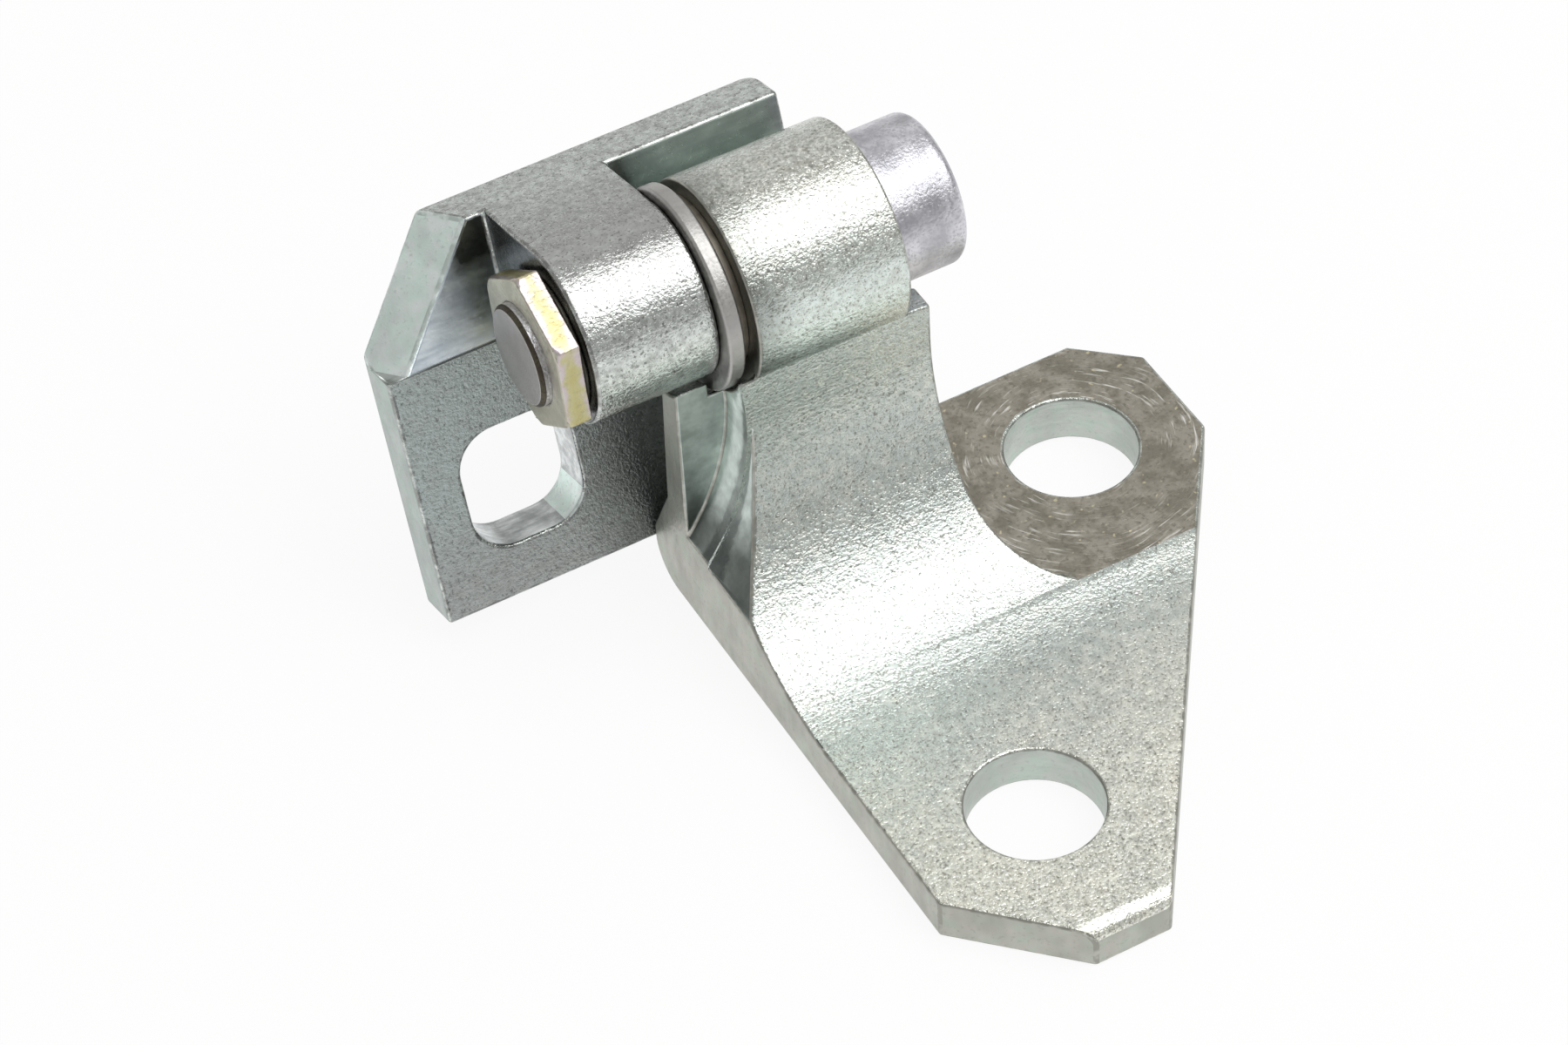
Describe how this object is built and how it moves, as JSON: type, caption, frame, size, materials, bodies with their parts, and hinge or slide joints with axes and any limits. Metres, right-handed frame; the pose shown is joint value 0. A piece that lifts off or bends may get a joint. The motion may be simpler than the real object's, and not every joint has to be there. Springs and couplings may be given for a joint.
{
  "type": "car door hinge",
  "caption": "Zinc-plated steel car door hinge: a bent pillar leaf with a sawn base plate and bolt holes, joined by a headed pin and thin nut to a slotted door leaf that swings open.",
  "frame": {"origin": "on the underside of the pillar leaf's base plate, midway between its two bolt holes", "axes": "+X along the hinge pin from the nut towards the pin head, +Z square to the base plate towards the pin, +Y from the bolt holes towards the door leaf"},
  "size_m": [0.0736, 0.0805, 0.046],
  "materials": {
    "pillar_zinc": "bright zinc plate over a rolled, slightly grainy steel surface",
    "door_zinc": "blue-grey zinc plate, speckled on the rolled faces and smooth where milled",
    "pin_zinc": "smooth turned steel, lilac-grey zinc plate",
    "washer_zinc": "plain stamped steel, dull zinc plate",
    "nut_yellow_zinc": "yellow passivated zinc plate with a faint rainbow sheen",
    "bush_bronze": "plain bronze bearing metal"
  },
  "bodies": {
    "pillar": {"pillar_leaf": "pillar_zinc", "pivot_bush": "bush_bronze"},
    "door": {"door_leaf": "door_zinc", "hinge_pin": "pin_zinc", "hex_nut": "nut_yellow_zinc", "thrust_washer": "washer_zinc"}
  },
  "joints": [
    {"name": "door_swing", "type": "hinge", "parent": "pillar", "child": "door", "pos_m": [0, 0.0283, 0.036], "axis": [1, 0, 0], "range_deg": [0, 80]}
  ]
}
